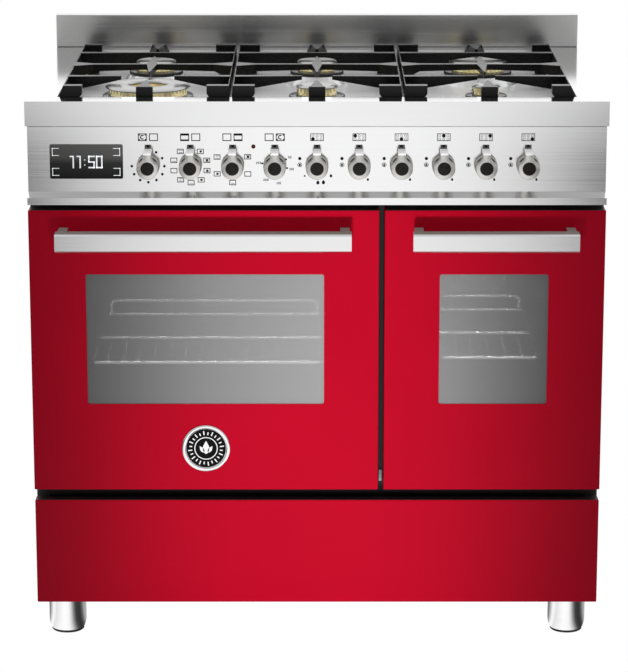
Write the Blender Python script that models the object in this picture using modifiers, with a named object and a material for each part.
"""Freestanding six-burner range, 900 mm wide, with two drop-down ovens and a storage drawer.

Metres, +Z up, origin on the floor under the middle of the body. +X is the right-hand side
seen from the front, and the front faces -Y. Depths below are given from the front edge of
the worktop rearwards and turned into world Y by y_of().
"""

import math

import bmesh
import bpy
from mathutils import Matrix, Vector

MM = 0.001
GAP = 0.3                     # clearance between touching pieces
SHEET = 1.5                   # folded sheet thickness

# ---- driving dimensions, mm -------------------------------------------------
FRONT_TO_ORIGIN = 265.0       # worktop front edge to the origin
TOP_W, TOP_D = 900.0, 600.0
TOP_Z, SKIRT_Z = 900.0, 861.3
WELL_X, WELL_Y0, WELL_Y1, WELL_Z = 403.0, 43.0, 539.0, 868.0
WELL_DRAFT = 7.0              # how far the well walls lean in
SPLASH_Y0, SPLASH_Z = 577.0, 955.6
BODY_X = 448.0                # outside of the side panels
BODY_Z0 = 92.5                # underside of the body
FASCIA_X = 447.5
FASCIA_Y, LIP_Y = 9.0, -12.0
FASCIA_Z1, FASCIA_Z0, LIP_Z1, LIP_Z0 = 859.0, 757.5, 751.4, 740.4
FASCIA_BACK = 34.0
FRAME_Y = 36.0                # black front frame
DOOR_Y0, DOOR_Y1 = -10.0, 31.5
DOOR_Z0, DOOR_Z1 = 280.3, 731.2
LEFT_DOOR = (-447.5, 96.5)
RIGHT_DOOR = (105.0, 447.5)
LEFT_WINDOW = (-360.0, 11.0)
RIGHT_WINDOW = (191.0, 360.5)
WINDOW_Z = (421.0, 630.0)
HINGE_Y, HINGE_Z = 0.0, 290.0
LEFT_HANDLE = (-402.0, 53.0)
RIGHT_HANDLE = (147.6, 402.5)
HANDLE_Y0, HANDLE_Y1, HANDLE_Z0, HANDLE_Z1 = -70.0, -44.0, 677.0, 705.5
LEFT_OVEN = (-372.0, 23.0)
RIGHT_OVEN = (182.0, 367.0)
OVEN_Z = (372.0, 690.0)
OVEN_BACK = 455.0
LEFT_SHELF = (-358.0, 10.0, 472.0)
RIGHT_SHELF = (196.0, 352.0, 480.0)
SHELF_Y = (52.0, 385.0)
DRAWER_Z = (92.6, 263.0)
DRAWER_X = 447.0
LEG_X, LEG_R, LEG_Y = 411.0, 30.5, (128.0, 510.0)
CLOCK_X, CLOCK_Z = (-413.0, -300.5), (778.0, 831.5)
KNOB_X0, KNOB_PITCH, KNOB_Z = -261.0, 65.25, 799.0
KNOB_FRONT = -23.5
BADGE = (-175.0, 349.5, 38.0)
GRATE_Z1 = 917.0
GRATES = {"left_grate": -268.0, "centre_grate": 0.0, "right_grate": 268.0}
GRATE_HALF = 132.3
BURNER_Y = {"front": 144.0, "rear": 397.0}
# cap radius, crown radius, boss top radius, boss foot radius
BURNERS = {
    "left_front": (67.0, 62.0, 76.0, 88.0),
    "left_rear": (33.0, 30.5, 46.0, 57.0),
    "centre_front": (34.0, 31.0, 46.0, 57.0),
    "centre_rear": (33.0, 30.5, 46.0, 57.0),
    "right_front": (22.5, 20.0, 38.0, 49.0),
    "right_rear": (47.5, 44.0, 58.5, 69.0),
}
BURNER_X = {"left": -268.0, "centre": 0.0, "right": 268.0}


def y_of(depth):
    return (depth - FRONT_TO_ORIGIN) * MM


# ---- scene ------------------------------------------------------------------
for old in list(bpy.data.objects):
    bpy.data.objects.remove(old, do_unlink=True)
PARTS = bpy.data.collections.new("gas_range")
CUTTERS = bpy.data.collections.new("cutters")
bpy.context.scene.collection.children.link(PARTS)
bpy.context.scene.collection.children.link(CUTTERS)


def material(name, colour, roughness, metallic, alpha=1.0):
    made = bpy.data.materials.new(name)
    made.use_nodes = True
    shader = made.node_tree.nodes["Principled BSDF"]
    shader.inputs["Base Color"].default_value = (*colour, 1.0)
    shader.inputs["Roughness"].default_value = roughness
    shader.inputs["Metallic"].default_value = metallic
    shader.inputs["Alpha"].default_value = alpha
    return made


STEEL = material("brushed_steel", (0.62, 0.62, 0.63), 0.3, 1.0)
CHROME = material("chrome", (0.8, 0.8, 0.81), 0.08, 1.0)
RED = material("red_paint", (0.55, 0.005, 0.02), 0.25, 0.0)
BLACK = material("black_enamel", (0.01, 0.01, 0.01), 0.3, 0.0)
GREY_PAINT = material("grey_paint", (0.25, 0.25, 0.26), 0.45, 0.0)
ENAMEL = material("oven_enamel", (0.06, 0.06, 0.07), 0.3, 0.0)
IRON = material("cast_iron", (0.015, 0.015, 0.015), 0.5, 0.2)
BRASS = material("brass", (0.75, 0.6, 0.3), 0.25, 1.0)
GLASS = material("glass", (0.35, 0.36, 0.37), 0.05, 0.0, 0.35)
DISPLAY = material("display", (0.05, 0.05, 0.05), 0.1, 0.0)


# ---- modelling helpers --------------------------------------------------------
def add(name, mesh, mat, cutter=False):
    obj = bpy.data.objects.new(name, mesh)
    (CUTTERS if cutter else PARTS).objects.link(obj)
    if cutter:
        obj.hide_render = True
        obj.display_type = "WIRE"
    if mat is not None:
        mesh.materials.clear()
        mesh.materials.append(mat)
    return obj


def box(name, x, y, z, mat=None, cutter=False):
    """A box between pairs of limits in mm; y is a pair of depths."""
    bm = bmesh.new()
    bmesh.ops.create_cube(bm, size=1.0)
    size = ((x[1] - x[0]) * MM, (y[1] - y[0]) * MM, (z[1] - z[0]) * MM)
    centre = (sum(x) / 2 * MM, (y_of(y[0]) + y_of(y[1])) / 2, sum(z) / 2 * MM)
    bmesh.ops.scale(bm, vec=size, verts=bm.verts)
    bmesh.ops.translate(bm, vec=centre, verts=bm.verts)
    mesh = bpy.data.meshes.new(name)
    bm.to_mesh(mesh)
    bm.free()
    return add(name, mesh, mat, cutter)


def cylinder(name, centre, radius, length, axis, mat=None, cutter=False, sides=24, radius2=None):
    """A cylinder or cone about an axis letter, centred on (x, depth, z) in mm."""
    bm = bmesh.new()
    bmesh.ops.create_cone(
        bm, cap_ends=True, segments=sides, radius1=radius * MM,
        radius2=(radius if radius2 is None else radius2) * MM, depth=length * MM)
    turn = {"X": Matrix.Rotation(math.pi / 2, 4, "Y"),
            "Y": Matrix.Rotation(-math.pi / 2, 4, "X"), "Z": Matrix()}[axis]
    place = Matrix.Translation((centre[0] * MM, y_of(centre[1]), centre[2] * MM))
    bmesh.ops.transform(bm, matrix=place @ turn, verts=bm.verts)
    mesh = bpy.data.meshes.new(name)
    bm.to_mesh(mesh)
    bm.free()
    return add(name, mesh, mat, cutter)


def baked(obj):
    """The object's evaluated mesh put in its place, its modifiers gone."""
    bpy.context.view_layer.update()
    graph = bpy.context.evaluated_depsgraph_get()
    mesh = bpy.data.meshes.new_from_object(obj.evaluated_get(graph))
    mesh.name = obj.name
    obj.modifiers.clear()
    obj.data = mesh
    return obj


def boolean(obj, tools, operation):
    for tool in tools:
        step = obj.modifiers.new(operation.lower(), "BOOLEAN")
        step.operation = operation
        step.object = tool
        step.solver = "EXACT"
    baked(obj)
    for tool in tools:
        bpy.data.objects.remove(tool, do_unlink=True)
    return obj


def unite(obj, tools):
    return boolean(obj, tools, "UNION")


def cut(obj, tools):
    return boolean(obj, tools, "DIFFERENCE")


def outline(name, rings, thickness, plane, at, mat=None, cutter=False, edge=0.0):
    """A flat outline with holes, in mm, given a thickness.

    plane "XZ": points are (x, z), centred on depth at. "YZ": points are (depth, z), centred
    on x at. "XY": points are (x, depth), centred on z at. edge rounds the rim.
    """
    curve = bpy.data.curves.new(name, "CURVE")
    curve.dimensions = "2D"
    curve.fill_mode = "BOTH"
    curve.extrude = (thickness / 2 - edge) * MM
    if edge:
        curve.bevel_depth = edge * MM
        curve.bevel_resolution = 0
        curve.offset = -edge * MM
    for ring in rings:
        spline = curve.splines.new("POLY")
        spline.points.add(len(ring) - 1)
        spline.use_cyclic_u = True
        for point, (u, v) in zip(spline.points, ring):
            if plane == "YZ":
                u = u - FRONT_TO_ORIGIN
            if plane == "XY":
                v = v - FRONT_TO_ORIGIN
            point.co = (u * MM, v * MM, 0.0, 1.0)
    guide = bpy.data.objects.new(name + "_curve", curve)
    CUTTERS.objects.link(guide)
    if plane == "XZ":
        guide.matrix_world = Matrix.Translation((0, y_of(at), 0)) @ Matrix.Rotation(math.pi / 2, 4, "X")
    elif plane == "YZ":
        guide.matrix_world = (Matrix.Translation((at * MM, 0, 0))
                              @ Matrix(((0, 0, 1, 0), (1, 0, 0, 0), (0, 1, 0, 0), (0, 0, 0, 1))))
    else:
        guide.matrix_world = Matrix.Translation((0, 0, at * MM))
    bpy.context.view_layer.update()
    graph = bpy.context.evaluated_depsgraph_get()
    mesh = bpy.data.meshes.new_from_object(guide.evaluated_get(graph))
    mesh.transform(guide.matrix_world)
    bpy.data.objects.remove(guide, do_unlink=True)
    bm = bmesh.new()
    bm.from_mesh(mesh)
    bmesh.ops.remove_doubles(bm, verts=bm.verts, dist=1e-6)
    bmesh.ops.recalc_face_normals(bm, faces=bm.faces)
    bm.to_mesh(mesh)
    bm.free()
    mesh.name = name
    return add(name, mesh, mat, cutter)


def rectangle(x, z):
    return [(x[0], z[0]), (x[1], z[0]), (x[1], z[1]), (x[0], z[1])]


def rounded(x, z, radius, steps=3):
    """A rectangle with round corners."""
    points = []
    for cx, cz, start in ((x[1] - radius, z[0] + radius, -90), (x[1] - radius, z[1] - radius, 0),
                          (x[0] + radius, z[1] - radius, 90), (x[0] + radius, z[0] + radius, 180)):
        for i in range(steps + 1):
            a = math.radians(start + 90 * i / steps)
            points.append((cx + radius * math.cos(a), cz + radius * math.sin(a)))
    return points


def turned(name, profile, centre, mat, sides=40, smooth=True):
    """A profile of (radius, z) in mm, outer side top to bottom, turned about a vertical axis."""
    mesh = bpy.data.meshes.new(name)
    bm = bmesh.new()
    verts = [bm.verts.new((r * MM, 0, z * MM)) for r, z in profile]
    for a, b in zip(verts, verts[1:]):
        bm.edges.new((a, b))
    if profile[0][0] > 0.01 and profile[-1][0] > 0.01:
        bm.edges.new((verts[-1], verts[0]))
    bm.to_mesh(mesh)
    bm.free()
    obj = add(name, mesh, mat)
    obj.location = (centre[0] * MM, y_of(centre[1]), 0)
    screw = obj.modifiers.new("turn", "SCREW")
    screw.axis = "Z"
    screw.angle = 2 * math.pi
    screw.steps = sides
    screw.render_steps = sides
    screw.use_merge_vertices = True
    screw.merge_threshold = 1e-5
    screw.use_smooth_shade = smooth
    return obj


def tube(name, points, radius, mat=None, cyclic=False):
    """A round bar along (x, depth, z) points in mm, as a mesh."""
    curve = bpy.data.curves.new(name, "CURVE")
    curve.dimensions = "3D"
    curve.bevel_depth = radius * MM
    curve.bevel_resolution = 1
    curve.use_fill_caps = True
    spline = curve.splines.new("POLY")
    spline.points.add(len(points) - 1)
    spline.use_cyclic_u = cyclic
    for point, (x, d, z) in zip(spline.points, points):
        point.co = (x * MM, y_of(d), z * MM, 1.0)
    guide = bpy.data.objects.new(name + "_curve", curve)
    CUTTERS.objects.link(guide)
    bpy.context.view_layer.update()
    graph = bpy.context.evaluated_depsgraph_get()
    mesh = bpy.data.meshes.new_from_object(guide.evaluated_get(graph))
    bpy.data.objects.remove(guide, do_unlink=True)
    bm = bmesh.new()
    bm.from_mesh(mesh)
    bmesh.ops.remove_doubles(bm, verts=bm.verts, dist=1e-6)
    bmesh.ops.recalc_face_normals(bm, faces=bm.faces)
    bm.to_mesh(mesh)
    bm.free()
    return add(name, mesh, mat)


def tray(name, x, y, z, mat, open_side, thickness=SHEET, edge=0.0):
    """A box folded from sheet, open on one side ("rear", "front" or "top")."""
    obj = box(name, x, y, z, mat)
    bm = bmesh.new()
    bm.from_mesh(obj.data)
    facing = {"rear": Vector((0, 1, 0)), "front": Vector((0, -1, 0)), "top": Vector((0, 0, 1))}[open_side]
    lids = [f for f in bm.faces if f.normal.dot(facing) > 0.9]
    bmesh.ops.delete(bm, geom=lids, context="FACES_ONLY")
    bm.to_mesh(obj.data)
    bm.free()
    if edge:
        soft = obj.modifiers.new("soft_edges", "BEVEL")
        soft.width = edge * MM
        soft.segments = 2
        soft.limit_method = "ANGLE"
    wall = obj.modifiers.new("sheet", "SOLIDIFY")
    wall.thickness = thickness * MM
    wall.offset = -1.0
    wall.use_even_offset = True
    return obj


def origin_to(obj, x, depth, z):
    """Moves the object's origin, leaving its shape where it is."""
    target = Vector((x * MM, y_of(depth), z * MM))
    obj.data.transform(Matrix.Translation(obj.location - target))
    obj.location = target


# ---- body -------------------------------------------------------------------
base = tray("base_frame", (-444, 444), (40, 594), (BODY_Z0, 266), BLACK, "front", 2.0)
baked(base)
unite(base, [box("rail_l", (-443, -427), (42, 560), (120, 128)),
             box("rail_r", (427, 443), (42, 560), (120, 128))])
cut(base, [cylinder(f"stem_{i}_{j}", (sx * LEG_X, y, BODY_Z0), 7.0, 20, "Z", cutter=True, sides=10)
           for i, sx in enumerate((-1, 1)) for j, y in enumerate(LEG_Y)])

for name, s in (("left_side_panel", -1), ("right_side_panel", 1)):
    ring = [(s * BODY_X, 38), (s * BODY_X, 598), (s * 430, 598), (s * 430, 598 - SHEET),
            (s * (BODY_X - SHEET), 598 - SHEET), (s * (BODY_X - SHEET), 38 + SHEET),
            (s * 430, 38 + SHEET), (s * 430, 38)]
    outline(name, [ring], 859 - BODY_Z0, "XY", (859 + BODY_Z0) / 2, GREY_PAINT)

rear = box("rear_panel", (-446.1, 446.1), (594.6, 596.1), (BODY_Z0, 859), GREY_PAINT)
slots = [box(f"slot_{i}_{j}", (x - 45, x + 45), (590, 600), (z - 2.5, z + 2.5), cutter=True)
         for i, x in enumerate((-280, -140, 0, 140, 280)) for j, z in enumerate((740, 756, 772))]
slots.append(cylinder("inlet_hole", (388, 595, 805), 14, 12, "Y", cutter=True, sides=12))
cut(rear, slots)

outline("front_frame",
        [rectangle((-BODY_X, BODY_X), (BODY_Z0, 757)), rectangle((-432, 432), (98, 258)),
         rounded(LEFT_OVEN, OVEN_Z, 12), rounded(RIGHT_OVEN, OVEN_Z, 12)],
        1.6, "XZ", FRAME_Y + 0.8, BLACK)

for name, (x0, x1), shelf_z in (("left_oven_liner", LEFT_OVEN, LEFT_SHELF[2]),
                                ("right_oven_liner", RIGHT_OVEN, RIGHT_SHELF[2])):
    liner = tray(name, (x0 - SHEET, x1 + SHEET), (38, OVEN_BACK + SHEET),
                 (OVEN_Z[0] - SHEET, OVEN_Z[1] + SHEET), ENAMEL, "front")
    baked(liner)
    extra = [outline("flange", [rectangle((x0 - 9, x1 + 9), (OVEN_Z[0] - 9, OVEN_Z[1] + 9)),
                                rectangle((x0 - 0.01, x1 + 0.01), (OVEN_Z[0] - 0.01, OVEN_Z[1] + 0.01))],
                     1.5, "XZ", 38.75)]
    width = 19 if name[0] == "l" else 19
    for level in (-50, 0, 50, 100, 150):
        top = shelf_z - 3.1 + level
        extra.append(box("ledge", (x0 - 1, x0 + width), (60, 420), (top - 2, top)))
        extra.append(box("ledge", (x1 - width, x1 + 1), (60, 420), (top - 2, top)))
    unite(liner, extra)

# ---- worktop ----------------------------------------------------------------
# One pressed sheet: a skirt, a flat rim and a well with leaning walls.
bm = bmesh.new()
bmesh.ops.create_cube(bm, size=1.0)
bmesh.ops.scale(bm, vec=(TOP_W * MM, TOP_D * MM, (TOP_Z - SKIRT_Z) * MM), verts=bm.verts)
bmesh.ops.translate(bm, vec=(0, (y_of(0) + y_of(TOP_D)) / 2, (TOP_Z + SKIRT_Z) / 2 * MM), verts=bm.verts)
bmesh.ops.delete(bm, geom=[f for f in bm.faces if f.normal.z < -0.9], context="FACES_ONLY")
bm.faces.ensure_lookup_table()
top_face = next(f for f in bm.faces if f.normal.z > 0.9)
bmesh.ops.inset_region(bm, faces=[top_face], thickness=0.04, use_even_offset=True)
for vert in top_face.verts:
    vert.co.x = math.copysign(WELL_X * MM, vert.co.x)
    vert.co.y = y_of(WELL_Y0) if vert.co.y < 0.05 else y_of(WELL_Y1)
floor = bmesh.ops.extrude_discrete_faces(bm, faces=[top_face])["faces"][0]
middle = (WELL_Y0 + WELL_Y1) / 2
for vert in floor.verts:
    vert.co.x -= math.copysign(WELL_DRAFT * MM, vert.co.x)
    vert.co.y -= math.copysign(WELL_DRAFT * MM, vert.co.y - y_of(middle))
    vert.co.z = WELL_Z * MM
mesh = bpy.data.meshes.new("worktop")
bm.to_mesh(mesh)
bm.free()
worktop = add("worktop", mesh, STEEL)
sheet = worktop.modifiers.new("sheet", "SOLIDIFY")
sheet.thickness = SHEET * MM
sheet.offset = -1.0
sheet.use_even_offset = True
baked(worktop)
bosses, holes = [], []
for key, (cap_r, crown_r, boss_top, boss_foot) in BURNERS.items():
    side, row = key.split("_")
    x, d = BURNER_X[side], BURNER_Y[row]
    low, high = WELL_Z - 1.0, WELL_Z + 14.0
    bosses.append(cylinder("boss", (x, d, (low + high) / 2), boss_foot, high - low, "Z", sides=32, radius2=boss_top))
    holes.append(cylinder("hole", (x, d, WELL_Z + 5), crown_r - 4.0, 40, "Z", cutter=True, sides=20))
unite(worktop, bosses)
cut(worktop, holes)

# ---- splashback, control panel ------------------------------------------------
splash = box("splashback", (-450, 450), (SPLASH_Y0, TOP_D), (TOP_Z + GAP, SPLASH_Z), STEEL)
soft = splash.modifiers.new("soft_edges", "BEVEL")
soft.width = 1.2 * MM
soft.segments = 2
baked(splash)
cut(splash, [box("hollow", (-448.5, 448.5), (SPLASH_Y0 + SHEET, TOP_D - SHEET), (TOP_Z - 10, SPLASH_Z - SHEET), cutter=True)])

section = [(FASCIA_BACK, FASCIA_Z1), (FASCIA_Y, FASCIA_Z1), (FASCIA_Y, FASCIA_Z0),
           (LIP_Y, LIP_Z1), (LIP_Y, LIP_Z0), (FASCIA_BACK, LIP_Z0)]
t = SHEET
inner = [(FASCIA_BACK + 10, FASCIA_Z1 - t), (FASCIA_Y + t, FASCIA_Z1 - t), (FASCIA_Y + t, FASCIA_Z0 - t - 0.2),
         (LIP_Y + t, LIP_Z1 - t + 0.2), (LIP_Y + t, LIP_Z0 + t), (FASCIA_BACK + 10, LIP_Z0 + t)]
panel = outline("control_panel", [section], 2 * FASCIA_X, "YZ", 0.0, STEEL)
tools = [outline("hollow", [inner], 2 * (FASCIA_X - t), "YZ", 0.0, cutter=True),
         outline("clock_mouth", [rounded((CLOCK_X[0] - 0.4, CLOCK_X[1] + 0.4), (CLOCK_Z[0] - 0.4, CLOCK_Z[1] + 0.4), 2.4, 2)],
                 20, "XZ", FASCIA_Y, cutter=True)]
for i in range(10):
    tools.append(cylinder("spindle_hole", (KNOB_X0 + KNOB_PITCH * i, FASCIA_Y, KNOB_Z), 5.0, 12, "Y", cutter=True, sides=10))
cut(panel, tools)

clock = outline("clock_display", [rounded(CLOCK_X, CLOCK_Z, 2.0, 2)], 22.0, "XZ", FASCIA_Y - 0.4 + 11.0, DISPLAY)

# ---- knobs --------------------------------------------------------------------
def knob_outline():
    """Front face of a knob: a disc that narrows through two scoops into a short pointer."""
    r = 16.6
    points = []
    for i in range(17):
        a = math.radians(162 + i * (216 / 16))
        points.append((r * math.cos(a), r * math.sin(a)))
    for t_ in (0.35, 0.7):
        points.append((r * math.cos(math.radians(18)) * (1 - t_) + 6.5 * t_ - 1.6 * math.sin(math.pi * t_),
                       r * math.sin(math.radians(18)) * (1 - t_) + 14.5 * t_ - 0.6 * math.sin(math.pi * t_)))
    points += [(6.4, 15.0), (6.4, 24.6), (-6.4, 24.6), (-6.4, 15.0)]
    for t_ in (0.7, 0.35):
        points.append((-(r * math.cos(math.radians(18)) * (1 - t_) + 6.5 * t_ - 1.6 * math.sin(math.pi * t_)),
                       r * math.sin(math.radians(18)) * (1 - t_) + 14.5 * t_ - 0.6 * math.sin(math.pi * t_)))
    return points


def make_knob(name, x, own_shaft):
    front = [(x + u, KNOB_Z + v) for u, v in knob_outline()]
    depth0, depth1 = KNOB_FRONT, -1.5
    body = outline(name, [front], depth1 - depth0, "XZ", (depth0 + depth1) / 2, CHROME, edge=0.8)
    skirt0, skirt1 = -6.0, FASCIA_Y - 3.8
    unite(body, [cylinder("skirt", (x, (skirt0 + skirt1) / 2, KNOB_Z), 17.7, skirt1 - skirt0, "Y", sides=20)])
    if own_shaft:
        unite(body, [cylinder("shaft", (x, 19, KNOB_Z), 3.0, 42, "Y", sides=8)])
    else:
        cut(body, [cylinder("socket", (x, 0.0, KNOB_Z), 3.5, 26, "Y", cutter=True, sides=8)])
    origin_to(body, x, FASCIA_Y, KNOB_Z)
    return body


KNOBS = ["left_thermostat_knob", "left_function_knob", "right_function_knob", "right_thermostat_knob"]
GAS = ["left_front", "left_rear", "centre_front", "centre_rear", "right_rear", "right_front"]
for i, name in enumerate(KNOBS):
    make_knob(name, KNOB_X0 + KNOB_PITCH * i, True)
for i, key in enumerate(GAS):
    x = KNOB_X0 + KNOB_PITCH * (i + 4)
    pusher = bpy.data.objects.new(f"{key}_axis", None)
    PARTS.objects.link(pusher)
    pusher.location = (x * MM, y_of(FASCIA_Y), KNOB_Z * MM)
    knob = make_knob(f"{key}_knob", x, False)
    spindle = cylinder(f"{key}_spindle", (x, 23.5, KNOB_Z), 3.0, 69, "Y", BRASS, sides=8)
    origin_to(spindle, x, FASCIA_Y, KNOB_Z)
    for piece in (knob, spindle):
        piece.parent = pusher
        piece.matrix_parent_inverse = Matrix()
        piece.location = (0, 0, 0)

# Gas rail behind the knobs: six valve bodies on one pipe, which runs back to the inlet.
rail_pts = [(-12, 86, 799), (372, 86, 799), (384, 90, 800), (388, 100, 801), (388, 560, 805), (388, 599.4, 805)]
manifold = tube("gas_manifold", rail_pts, 9.0, STEEL)
valves = [box("valve", (KNOB_X0 + KNOB_PITCH * i - 13, KNOB_X0 + KNOB_PITCH * i + 13), (40, 80), (784, 814))
          for i in range(4, 10)]
valves.append(cylinder("inlet_nut", (388, 591, 805), 12.5, 16.8, "Y", sides=6))
unite(manifold, valves)
cut(manifold, [cylinder("valve_bore", (KNOB_X0 + KNOB_PITCH * i, 50, KNOB_Z), 3.5, 28, "Y", cutter=True, sides=8)
               for i in range(4, 10)])

# ---- burners ------------------------------------------------------------------
for key, (cap_r, crown_r, boss_top, boss_foot) in BURNERS.items():
    side, row = key.split("_")
    at = (BURNER_X[side], BURNER_Y[row])
    seat = WELL_Z + 14.0 + GAP
    if key == "left_front":
        # Wok burner: an outer crown with an annular cap round a small inner crown.
        turned(f"{key}_burner", [
            (0, 899.5), (12.5, 898.5), (12.5, 888.5), (31.5, 888.5), (31.5, 899.0),
            (62.0, 899.0), (62.0, 888.5), (72.0, 887.0), (72.0, seat), (56.5, seat),
            (56.5, 846.0), (0, 846.0)], at, BRASS, 28)
        turned(f"{key}_cap", [
            (34.0, 905.2), (58.0, 904.8), (67.0, 902.0), (66.2, 899.3), (31.4, 899.3),
            (30.5, 902.6)], at, STEEL, 28)
    else:
        big = 45.0 if cap_r > 30 and cap_r < 40 else (cap_r + 9.0 if cap_r > 40 else 33.0)
        big = min(big, boss_top - 1.5)
        turned(f"{key}_burner", [
            (0, 899.5), (crown_r, 899.5), (crown_r, 888.5), (big, 886.5), (big, seat),
            (crown_r - 4.6, seat), (crown_r - 4.6, 850.0), (0, 850.0)], at, BRASS, 20)
        turned(f"{key}_cap", [
            (0, 905.0), (cap_r - 3.0, 904.2), (cap_r, 902.0),
            (cap_r - 0.8, 899.8), (0, 899.8)], at, STEEL, 20)

# ---- grates -------------------------------------------------------------------
def wedge(x0, x1, d, wide, narrow, deep, shallow, top=GRATE_Z1):
    """A finger from x0 to x1 at depth d: it narrows and its underside rises towards x1."""
    bm = bmesh.new()
    bmesh.ops.create_cube(bm, size=1.0)
    for vert in bm.verts:
        outer = (vert.co.x < 0) == (x0 < x1)
        half = wide / 2 if outer else narrow / 2
        vert.co = Vector(((x0 if outer else x1) * MM,
                          y_of(d + (half if vert.co.y > 0 else -half)),
                          (top if vert.co.z > 0 else top - (deep if outer else shallow)) * MM))
    bmesh.ops.recalc_face_normals(bm, faces=bm.faces)
    mesh = bpy.data.meshes.new("wedge")
    bm.to_mesh(mesh)
    bm.free()
    return add("wedge", mesh, None)


def wedge_y(x, d0, d1, wide, narrow, deep, shallow, top=GRATE_Z1, tip_drop=0.0, flare=0.0):
    """The same along the depth, from d0 to its tip at d1. Its underside is wider than its top by flare on each side."""
    bm = bmesh.new()
    bmesh.ops.create_cube(bm, size=1.0)
    for vert in bm.verts:
        outer = (vert.co.y < 0) == (d0 < d1)
        half = wide / 2 if outer else narrow / 2
        if vert.co.z < 0:
            half += flare if outer else flare * 0.5
        high = top if outer else top - tip_drop
        vert.co = Vector(((x + (half if vert.co.x > 0 else -half)) * MM,
                          y_of(d0 if outer else d1),
                          (high if vert.co.z > 0 else high - (deep if outer else shallow)) * MM))
    bmesh.ops.recalc_face_normals(bm, faces=bm.faces)
    mesh = bpy.data.meshes.new("wedge")
    bm.to_mesh(mesh)
    bm.free()
    return add("wedge", mesh, None)


def make_grate(name, cx):
    w = GRATE_HALF
    front, back = 46.0, 500.0
    top = GRATE_Z1
    grate = box(name, (cx - w + 5, cx + w - 5), (front + 4, front + 11), (883, 892), IRON)
    # low cross rails under the front and rear edges, hidden down in the well
    pieces = [box("rail", (cx - w + 5, cx + w - 5), (back - 11, back - 4), (883, 892))]
    for s in (-1, 1):
        edge = cx + s * w
        lean = 6.2 if cx * s > 100 else 1.4     # the outermost sides of the set of three slope inwards
        side = [(edge, 893.0), (edge, 899.0), (edge - s * lean, 915.4), (edge - s * (lean + 0.9), 915.4),
                (edge - s * (lean + 2.2), 905.0), (edge - s * 8.4, 893.0)]
        pieces.append(outline("rail", [side if s < 0 else side[::-1]], back - front, "XZ", (front + back) / 2))
        # corner blocks, each arched above a pad, standing on a foot in the well
        block = [(edge - s * 0.6, 889.5), (edge - s * 0.6, 899.0), (edge - s * (lean + 0.3), top), (edge - s * 35.6, top),
                 (edge - s * 35.6, 904.4), (edge - s * 33.0, 900.2), (edge - s * 27.6, 897.2), (edge - s * 27.6, 894.6),
                 (edge - s * 36.4, 892.8), (edge - s * 36.4, 889.5)]
        for d0, d1 in ((front, front + 16), (back - 18, back)):
            pieces.append(outline("corner", [block if s < 0 else block[::-1]], d1 - d0 - 0.8, "XZ", (d0 + d1) / 2))
            pieces.append(box("foot", tuple(sorted((edge - s * 10, edge - s * 30))), (d0 + (5 if d0 < 200 else 1), d1 - (1 if d0 < 200 else 5)),
                              (WELL_Z + GAP, 893)))
        # fingers over the front burner, and the bar ends over the rear one
        reach = 42.0 if cx < -100 else (24.0 if cx < 100 else 14.0)
        root = edge - s * (lean + 0.6)
        pieces.append(wedge(root, cx + s * reach, 147.0, 15.0, 5.0, 24.0, 6.0))
        pieces.append(wedge(root, cx + s * 6, 397.0, 15.0, 6.0, 24.0, 7.0))
        pieces.append(wedge(root, cx + s * 4, 271.0, 13.0, 8.0, 12.0, 9.0))
        # flared ends of the middle bar
        pieces.append(wedge(root + s * 0.4, root - s * 34, 271.0, 42.0, 8.0, 24.0, 9.0))
    pieces.append(box("bridge", (cx - 7, cx + 7), (393.8, 400.2), (top - 7, top - 0.02)))
    pieces.append(box("bridge", (cx - 9, cx + 9), (265, 277), (top - 9, top - 0.02)))
    # pointed fingers fore and aft of the middle bar
    pieces.append(wedge_y(cx, 273.0, 186.0, 17.5, 1.6, 10.0, 9.0))
    pieces.append(wedge_y(cx, 269.0, 353.0, 17.5, 1.6, 10.0, 9.0))
    # middle fingers at the front and the rear edge, on their posts
    pieces.append(wedge_y(cx, front + 2.0, 107.0, 23.0, 2.0, 11.0, 8.0, top - 2.0, -1.6))
    pieces.append(box("post", (cx - 13, cx + 13), (front + 2, front + 13), (878, top - 2.4)))
    pieces.append(wedge_y(cx, back, 440.0, 23.0, 3.0, 14.0, 8.0, top - 0.4, 0.0, 6.0))
    post = [(cx - 18, 878), (cx - 11.8, top - 1.0), (cx + 11.8, top - 1.0), (cx + 18, 878)]
    pieces.append(outline("post", [post], 11.6, "XZ", back - 6.2))
    unite(grate, pieces)
    return grate


for name, cx in GRATES.items():
    make_grate(name, cx)

# ---- legs ---------------------------------------------------------------------
for fore, d in (("front", LEG_Y[0]), ("rear", LEG_Y[1])):
    for side, s in (("left", -1), ("right", 1)):
        turned(f"{fore}_{side}_leg", [
            (0, 104.0), (6.0, 104.0), (6.0, 92.0), (LEG_R, 92.0), (LEG_R, 15.0), (LEG_R - 1.5, 10.0),
            (LEG_R - 5.0, 6.5), (LEG_R - 5.5, 0.0), (0, 0.0)], (s * LEG_X, d), CHROME, 20)

# ---- doors --------------------------------------------------------------------
def handle(name, x):
    """A flat bar with chamfered long edges on two end brackets."""
    y0, y1, z0, z1 = HANDLE_Y0, HANDLE_Y1, HANDLE_Z0, HANDLE_Z1
    c = 2.6
    bar = outline(name, [[(y0 + c, z0), (y1, z0), (y1, z1), (y0 + c, z1), (y0, z1 - c), (y0, z0 + c)]],
                  x[1] - x[0], "YZ", sum(x) / 2, STEEL)
    ends = []
    for lo in (x[0] + 2.5, x[1] - 2.5 - 14.6):
        ends.append(box("bracket", (lo, lo + 14.6), (y1 - 6, DOOR_Y0 - GAP), (z0 + 2, z1 - 1.0)))
    return unite(bar, ends)


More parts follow.
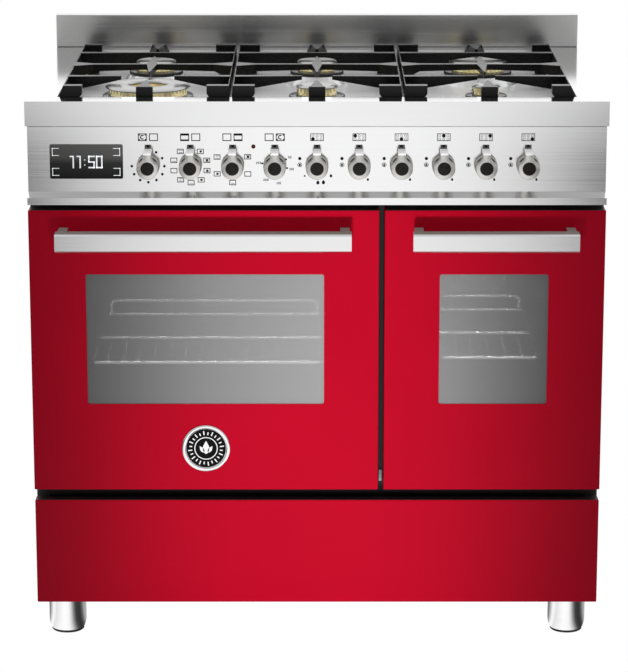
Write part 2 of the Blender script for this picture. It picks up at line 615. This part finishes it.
for side, (x0, x1), window, bar in (("left", LEFT_DOOR, LEFT_WINDOW, LEFT_HANDLE),
                                    ("right", RIGHT_DOOR, RIGHT_WINDOW, RIGHT_HANDLE)):
    hinge = bpy.data.objects.new(f"{side}_door_hinge", None)
    PARTS.objects.link(hinge)
    hinge.location = (sum((x0, x1)) / 2 * MM, y_of(HINGE_Y), HINGE_Z * MM)
    skin = tray(f"{side}_door_panel", (x0, x1), (DOOR_Y0, DOOR_Y1), (DOOR_Z0, DOOR_Z1), RED, "rear", SHEET, 1.6)
    baked(skin)
    cut(skin, [outline("window", [rounded(window, WINDOW_Z, 3.5)], 20, "XZ", DOOR_Y0, cutter=True)])
    pieces = [skin,
              outline(f"{side}_door_glass", [rectangle((window[0] - 8, window[1] + 8), (WINDOW_Z[0] - 8, WINDOW_Z[1] + 8))],
                      4.0, "XZ", DOOR_Y0 + SHEET + GAP + 2.0, GLASS),
              box(f"{side}_door_inner_glass", (x0 + SHEET + 0.4, x1 - SHEET - 0.4), (DOOR_Y1 - 5, DOOR_Y1 - 1),
                  (DOOR_Z0 + SHEET + 0.4, DOOR_Z1 - SHEET - 0.4), GLASS),
              handle(f"{side}_door_handle", bar)]
    if side == "left":
        disc = cylinder("badge", (BADGE[0], DOOR_Y0 - GAP - 1.6, BADGE[1]), BADGE[2], 3.2, "Y", CHROME, sides=32)
        pieces.append(disc)
    for piece in pieces:
        origin_to(piece, hinge.location.x / MM, HINGE_Y, HINGE_Z)
        piece.parent = hinge
        piece.location = (0, 0, 0)

# ---- shelves ------------------------------------------------------------------
for name, (x0, x1, z), cavity in (("left_oven_shelf", LEFT_SHELF, LEFT_OVEN), ("right_oven_shelf", RIGHT_SHELF, RIGHT_OVEN)):
    y0, y1 = SHELF_Y
    shelf = box(name, (x0, x1), (y0, y0 + 5), (z - 2.5, z + 2.5), CHROME)
    wires = [box("w", (x0, x1), (y1 - 5, y1), (z - 2.5, z + 2.5)),
             box("w", (x0, x0 + 5), (y0 + 1, y1 - 1), (z - 2.5, z + 2.5)),
             box("w", (x1 - 5, x1), (y0 + 1, y1 - 1), (z - 2.5, z + 2.5)),
             box("w", (x0 + 1, x1 - 1), ((y0 + y1) / 2 - 2, (y0 + y1) / 2 + 2), (z - 2.2, z + 1.8)),
             box("w", (x0 + 8, x1 - 8), (y1 - 4.4, y1 - 0.6), (z + 22, z + 26)),
             box("w", (x0 + 8, x0 + 12), (y1 - 4.4, y1 - 0.6), (z, z + 25)),
             box("w", (x1 - 12, x1 - 8), (y1 - 4.4, y1 - 0.6), (z, z + 25))]
    count = round((x1 - x0) / 25.0)
    pitch = (x1 - x0) / count
    for i in range(1, count):
        x = x0 + pitch * i
        wires.append(box("w", (x - 1.5, x + 1.5), (y0 + 1, y1 - 1), (z - 0.5, z + 2.3)))
    unite(shelf, wires)

# ---- drawer -------------------------------------------------------------------
front = tray("drawer_front", (-DRAWER_X, DRAWER_X), (DOOR_Y0, 12), DRAWER_Z, RED, "rear", SHEET, 1.6)
baked(front)
store = tray("drawer_box", (-424, 424), (12.4, 560), (112, 240), GREY_PAINT, "top", 1.5)
baked(store)
unite(store, [box("runner", (-437, -423), (400, 556), (128.4, 134)), box("runner", (423, 437), (400, 556), (128.4, 134))])

for obj in PARTS.objects:
    if obj.type == "MESH":
        obj.data.set_sharp_from_angle(angle=math.radians(30)) if hasattr(obj.data, "set_sharp_from_angle") else None
